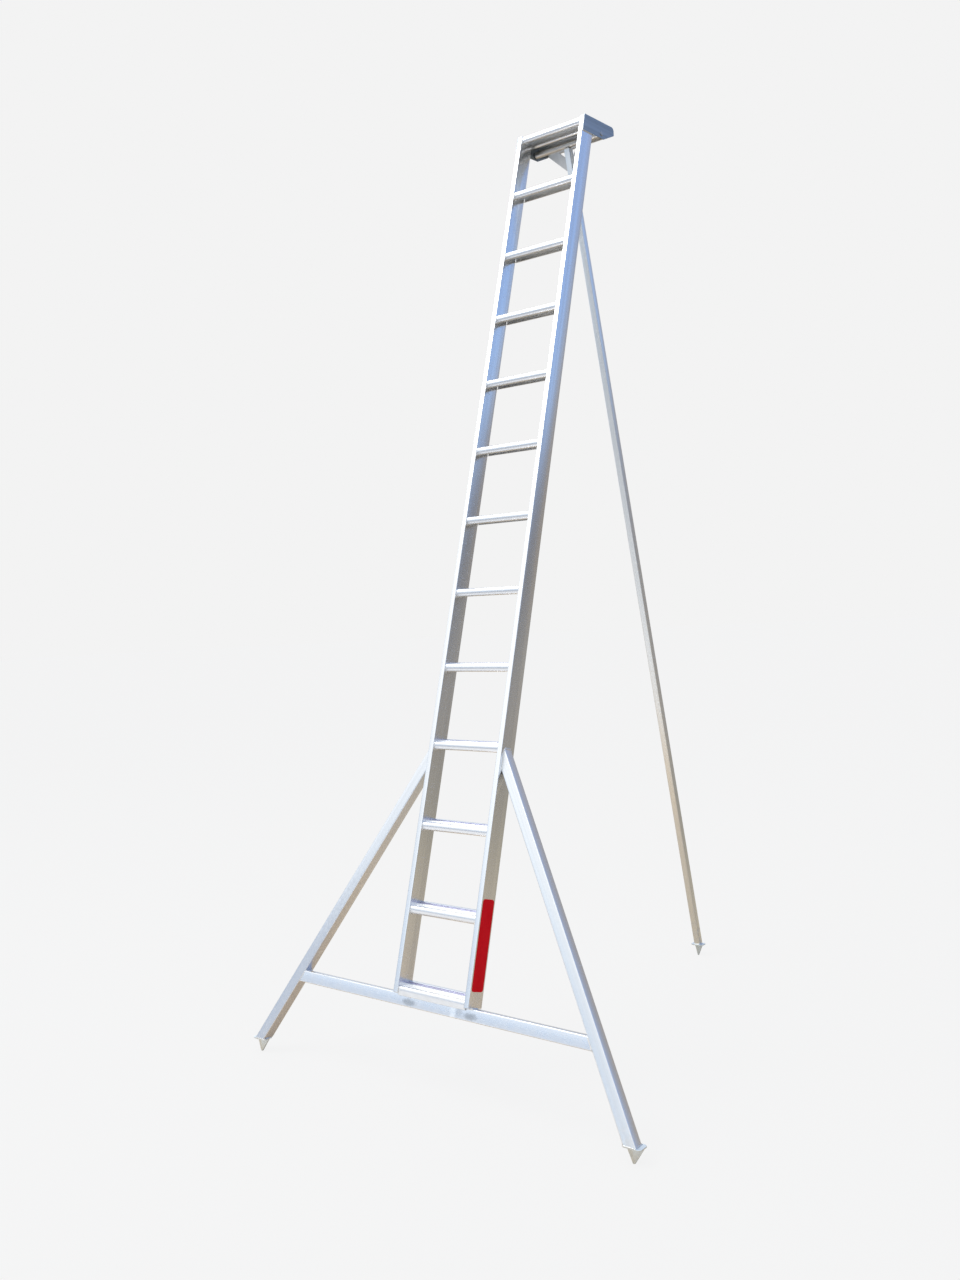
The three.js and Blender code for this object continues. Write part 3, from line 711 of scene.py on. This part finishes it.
# Turns a flat (y, z) drawing so that it faces along X.
FACING_X = Matrix(((0, 0, 1, 0), (1, 0, 0, 0), (0, 1, 0, 0), (0, 0, 0, 1)))
# Painted shade: the end plates are coloured far darker and bluer than the other aluminium, for the shade and
# blue reflection on their faces.
plate_painted_shade_finish = aluminium("end_plate_painted_shade", (0.42, 0.46, 0.49), (0.25, 0.29, 0.32), 0.34,
                         turn=(radians(90), 0, 0), lines=1.2)
rod_hole = circle(PIVOT.y, PIVOT.z, ROD_HOLE_RADIUS, 32)
for side in ("left", "right"):
    low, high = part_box(f"end_plate_{side}")
    plate_place = Matrix.Translation(((low.x + high.x) / 2, 0, 0)) @ FACING_X
    plate(f"{side}_end_plate", end_plate_outline(), plate_place, high.x - low.x,
          plate_painted_shade_finish, "front_frame", "end_plate", f"end_plate_{side}", holes=[rod_hole])

# ---------------------------------------------------------------------------------------------
# Hinge rod and washers: a zinc-plated steel rod from end plate to end plate, riveted over outside
# each one, with a washer at each end of the leg's hinge tube.
# ---------------------------------------------------------------------------------------------

zinc_finish = aluminium("zinc_plated_steel", (0.46, 0.48, 0.50), (0.30, 0.31, 0.32), 0.38,
                        lines=0.2, scuffs=0.5)
for node in ("hinge_rod", "hinge_washer_left", "hinge_washer_right"):
    refinish(node, zinc_finish)

# ---------------------------------------------------------------------------------------------
# Label: a plain red vinyl label on a thin plate with rounded corners, on the right stile's outer
# face. It carries no print.
# ---------------------------------------------------------------------------------------------


def vinyl(name, colour, faded):
    """A faintly faded and grained plastic."""
    material = bpy.data.materials.new(name)
    material.use_nodes = True
    tree = material.node_tree
    shader = tree.nodes["Principled BSDF"]
    shader.inputs["Specular IOR Level"].default_value = 0.06
    place = add_node(tree, "ShaderNodeTexCoord", -1000, 0)
    fading = stretched_noise(tree, place.outputs["Object"], (1, 1, 0.5), 24.0, 5, -700, 100)
    grain = stretched_noise(tree, place.outputs["Object"], (1, 1, 1), 900.0, 2, -700, -200)
    tint = add_node(tree, "ShaderNodeValToRGB", -450, 100)
    colour_stops(tint, (0.35, colour), (0.8, faded))
    tree.links.new(fading, tint.inputs[0])
    tree.links.new(tint.outputs["Color"], shader.inputs["Base Color"])
    rough = link_math(tree, "MULTIPLY_ADD", fading, 0.25, -250, -50, added=0.28)
    tree.links.new(rough, shader.inputs["Roughness"])
    bump = add_node(tree, "ShaderNodeBump", -250, -250)
    bump.inputs["Strength"].default_value = 0.15
    bump.inputs["Distance"].default_value = 0.0002
    tree.links.new(grain, bump.inputs["Height"])
    tree.links.new(bump.outputs[0], shader.inputs["Normal"])
    return material


LABEL_WIDTH = 0.062
LABEL_HEIGHT = 0.308
LABEL_UP = 0.545
LABEL_THICKNESS = 0.0006
label_finish = vinyl("red_vinyl", (0.57, 0.001, 0.008), (0.62, 0.005, 0.013))
label_centre = on_frame(HALF_WIDTH + GAP + LABEL_THICKNESS / 2, STILE_DEPTH / 2, LABEL_UP)
label_place = Matrix.Translation(label_centre) @ Matrix(
    ((0, 0, 1, 0), (FRAME_BACK.y, FRAME_UP.y, 0, 0), (FRAME_BACK.z, FRAME_UP.z, 0, 0), (0, 0, 0, 1)))
plate("red_label", rounded_box(LABEL_WIDTH, LABEL_HEIGHT, 0.011, 8), label_place, LABEL_THICKNESS,
      label_finish, "front_frame", "label_red", "label_plate", bevel=0.0002)

# ---------------------------------------------------------------------------------------------
# Rear prop leg: a 28 x 30 mm tube hanging from a round hinge tube, braced to it by two triangular
# gussets. Two lugs behind the hinge tube stop against the planks when the leg is fully open.
# ---------------------------------------------------------------------------------------------

REAR_FOOT_Y = 1.984 + FRAME_Y
REAR_WIDTH, REAR_DEPTH, REAR_WALL = 0.028, 0.030, 0.0016
HINGE_TUBE_RADIUS, HINGE_TUBE_BORE = 0.014, 0.0113
BESIDE_TUBE = HINGE_TUBE_RADIUS + GAP
leg_direction = (PIVOT - Vector((0, REAR_FOOT_Y, 0))).normalized()
leg_facing = RIGHT.cross(leg_direction)
leg_tilt = UP.angle(leg_direction)

rear_finish = aluminium("rear_leg_aluminium", (0.93, 0.94, 0.93), (0.74, 0.75, 0.74), 0.24,
                        turn=(-leg_tilt, 0, 0), lines=1.4, soil=0.4, reach=0.4)
rear_rings = [rounded_box(REAR_WIDTH, REAR_DEPTH, 0.003, 6),
              rounded_box(REAR_WIDTH - 2 * REAR_WALL, REAR_DEPTH - 2 * REAR_WALL, 0.0015, 2)]
rear_foot = PIVOT - leg_direction * ((PIVOT.z - FOOT_PLATE_TOP - GAP) / leg_direction.z)
rear_head = PIVOT - leg_direction * BESIDE_TUBE
add_piece("rear_leg", *cut_bar(rear_rings, rear_foot, rear_head, RIGHT, UP, leg_direction),
          rear_finish, "rear_leg", "rear_tube", "rear_leg_tube")

# Painted shade: the hinge tube is coloured darker and browner than the leg, for the shade and brown
# reflection under the platform.
tube_painted_shade_finish = aluminium("hinge_tube_painted_shade", (0.66, 0.64, 0.60), (0.46, 0.44, 0.41), 0.34,
                        turn=(0, radians(90), 0))
tube_rings = [circle(0, 0, HINGE_TUBE_RADIUS, 48), circle(0, 0, HINGE_TUBE_BORE, 32)]
add_piece("leg_hinge_tube", *level_bar(tube_rings, PIVOT.y, PIVOT.z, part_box("hinge_tube")[1].x),
          tube_painted_shade_finish, "rear_leg", "rear_tube", "hinge_tube")

# Painted shade: the gussets and stop lugs are coloured darker and browner too.
bracket_painted_shade_finish = aluminium("bracket_painted_shade", (0.64, 0.62, 0.59), (0.43, 0.41, 0.39), 0.36,
                           lines=0.5, scuffs=1.2)
leg_place = Matrix.Translation(PIVOT) @ Matrix(
    ((1, 0, 0, 0), (0, leg_direction.y, leg_facing.y, 0), (0, leg_direction.z, leg_facing.z, 0),
     (0, 0, 0, 1)))
inner, top = REAR_WIDTH / 2 + GAP, -BESIDE_TUBE
gusset = [(inner, top), (inner, top - 0.096), (inner + 0.006, top - 0.096),
          (inner + 0.092, top - 0.012), (inner + 0.092, top)]
gusset_hole = [(inner + 0.006, top - 0.006), (inner + 0.034, top - 0.006), (inner + 0.006, top - 0.036)]
stop_lug = [(BESIDE_TUBE, -0.007), (0.034, 0.009), (0.034, 0.0187), (BESIDE_TUBE, 0.007)]
for side, sign in (("left", -1), ("right", 1)):
    plate(f"{side}_gusset", [(sign * x, z) for x, z in gusset], leg_place, 0.004,
          bracket_painted_shade_finish, "rear_leg", "bracket_plate", f"gusset_{side}",
          holes=[[(sign * x, z) for x, z in gusset_hole]])
    low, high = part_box(f"stop_lug_{side}")
    lug_place = Matrix.Translation(((low.x + high.x) / 2, PIVOT.y, PIVOT.z)) @ FACING_X
    plate(f"{side}_stop_lug", stop_lug, lug_place, 0.005,
          bracket_painted_shade_finish, "rear_leg", "bracket_plate", f"stop_lug_{side}")

nylon_finish = vinyl("black_nylon", (0.012, 0.012, 0.014), (0.03, 0.03, 0.032))
for side in ("left", "right"):
    refinish(f"hinge_bush_{side}", nylon_finish)

# ---------------------------------------------------------------------------------------------
# Welds: rippled beads of aluminium where the treads, legs, bar, plates and spikes meet. Each bead
# rides with the pieces it joins.
# ---------------------------------------------------------------------------------------------

BEAD_SIDES = 8
RIPPLE = 0.0011


def bead(start, end, radius):
    """One weld bead: a rounded run from start to end whose overlapping puddles make ripples."""
    run = end - start
    axis = run.normalized()
    across = axis.cross(UP if abs(axis.z) < 0.8 else RIGHT).normalized()
    lift = across.cross(axis)
    count = max(6, int(run.length / RIPPLE))
    vertices = []
    for k in range(count + 1):
        tapered = min(1.0, (min(k, count - k) + 0.35) / 2.5) ** 0.5
        size = radius * tapered * (1.0 if k % 3 == 0 else 0.88)
        for j in range(BEAD_SIDES):
            angle = 2 * pi * j / BEAD_SIDES
            vertices.append(start + run * (k / count) + (across * cos(angle) + lift * sin(angle)) * size)
    faces = []
    for k in range(count):
        for j in range(BEAD_SIDES):
            a, b = k * BEAD_SIDES + j, k * BEAD_SIDES + (j + 1) % BEAD_SIDES
            faces.append((a, b, b + BEAD_SIDES, a + BEAD_SIDES))
    faces.append(tuple(reversed(range(BEAD_SIDES))))
    faces.append(tuple(count * BEAD_SIDES + j for j in range(BEAD_SIDES)))
    return vertices, faces


weld_finish = aluminium("weld_aluminium", (0.78, 0.78, 0.77), (0.50, 0.49, 0.47), 0.34,
                        lines=0.2, scuffs=0.3)


def weld_piece(name, runs, body):
    """All the beads of one name, each given as its start, end and radius."""
    vertices, faces = [], []
    for start, end, radius in runs:
        points, patches = bead(start, end, radius)
        faces += [tuple(len(vertices) + i for i in patch) for patch in patches]
        vertices += points
    add_piece(name, vertices, faces, weld_finish, body, "bracket_plate")


for side, sign in (("left", -1), ("right", 1)):
    runs = []
    for node in TREADS + ["platform_plank_front"]:
        low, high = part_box(node)
        x, nose, under = sign * (high.x - 0.0002), low.y + 0.0006, low.z - 0.0002
        runs += [(Vector((x, nose, high.z - 0.006)), Vector((x, nose, low.z + 0.004)), 0.0022),
                 (Vector((x, low.y + 0.003, under)), Vector((x, low.y + 0.021, under)), 0.0022)]
    weld_piece(f"{side}_tread_welds", runs, "front_frame")

# Leg to stile, bar to leg, stile to bar and end plate to stile, on both sides.
runs = []
leg_half_head = LEG_WIDTH / 2 / sin(LEG_SPLAY)
leg_rear = LEG_BACK + LEG_WIDTH / 2
for sign in (-1, 1):
    face = sign * (HALF_WIDTH + 0.0006)
    for back in (LEG_FRONT + 0.001, leg_rear - 0.001):
        runs.append((on_frame(face, back, LEG_HEAD - leg_half_head + 0.003),
                     on_frame(face, back, LEG_HEAD + leg_half_head - 0.003), 0.0032))
    for up in (LEG_HEAD - leg_half_head, LEG_HEAD + leg_half_head):
        runs.append((on_frame(face, LEG_BACK - 0.017, up), on_frame(face, LEG_BACK + 0.017, up), 0.0034))
    for up in (CROSSBAR_UP - LEG_WIDTH / 2, BAR_TOP):
        x = sign * (leg_x(up) - LEG_HALF_CUT)
        runs.append((on_frame(x, LEG_BACK - 0.018, up), on_frame(x, LEG_BACK + 0.018, up), 0.003))
    low_x = sign * (leg_x(CROSSBAR_UP - 0.018) - LEG_HALF_CUT)
    high_x = sign * (leg_x(CROSSBAR_UP + 0.018) - LEG_HALF_CUT)
    for back in (LEG_FRONT + 0.0008, leg_rear - 0.0008):
        runs.append((on_frame(low_x, back, CROSSBAR_UP - 0.018),
                     on_frame(high_x, back, CROSSBAR_UP + 0.018), 0.0028))
    for x in (sign * HALF_WIDTH, sign * (HALF_WIDTH - STILE_WIDTH)):
        runs.append((on_frame(x, LEG_BACK - 0.019, BAR_TOP), on_frame(x, LEG_BACK + 0.019, BAR_TOP), 0.0032))
    runs.append((on_frame(sign * 0.100, LEG_FRONT, BAR_TOP), on_frame(sign * 0.188, LEG_FRONT, BAR_TOP),
                 0.0034))
    outer = sign * (HALF_WIDTH + GAP)
    plate_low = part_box("end_plate_right")[0].z
    front_low = PLATFORM_FRONT - (PLANK_TOP - plate_low) * tan(LEAN)
    runs.append((Vector((outer, front_low + 0.002, plate_low)),
                 Vector((outer, front_low + 0.074, plate_low)), 0.0036))
# A lump where each run along the bar's front edge ends.
runs += [(on_frame(-0.102, LEG_FRONT, 0.326), on_frame(-0.102, LEG_FRONT, 0.340), 0.004),
         (on_frame(0.092, LEG_FRONT, 0.339), on_frame(0.108, LEG_FRONT, 0.339), 0.005)]
weld_piece("frame_welds", runs, "front_frame")

# Round each leg where it stands on its foot plate, and where the spike meets the plate.
for side, body in FEET:
    low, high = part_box(f"spike_{side}")
    seam = high.z - 0.001
    point = Vector(((low.x + high.x) / 2, low.y + 0.001, seam))
    runs = [(point, Vector((x, low.y + 0.011, seam)), 0.0022) for x in (low.x, high.x)]
    if side == "rear":
        centre, reach_x, reach_y = rear_foot, REAR_WIDTH / 2, 0.0153
    else:
        sign = -1 if side == "left" else 1
        centre = on_frame(sign * leg_x(leg_foot_up), LEG_BACK, leg_foot_up)
        reach_x, reach_y = LEG_HALF_CUT, LEG_WIDTH / 2 / cos(LEAN)
    corners = [centre + Vector((i * reach_x, j * reach_y, 0))
               for i, j in ((-1, -1), (1, -1), (1, 1), (-1, 1))]
    for a, b in zip(corners, corners[1:] + corners[:1]):
        runs.append((a.lerp(b, 0.06), a.lerp(b, 0.94), 0.002))
    weld_piece(f"{side}_foot_welds", runs, body)

# The gussets to the hinge tube and the leg, and the leg to the hinge tube.
runs = []
for sign in (-1, 1):
    for z in (-0.0022, 0.0022):
        runs += [(leg_place @ Vector((sign * 0.017, -0.0142, z)),
                  leg_place @ Vector((sign * 0.104, -0.0142, z)), 0.002),
                 (leg_place @ Vector((sign * inner, -0.018, z)),
                  leg_place @ Vector((sign * inner, -0.108, z)), 0.002)]
for z in (-0.0145, 0.0145):
    runs.append((leg_place @ Vector((-0.012, -0.0146, z)), leg_place @ Vector((0.012, -0.0146, z)), 0.0026))
weld_piece("leg_head_welds", runs, "rear_leg")
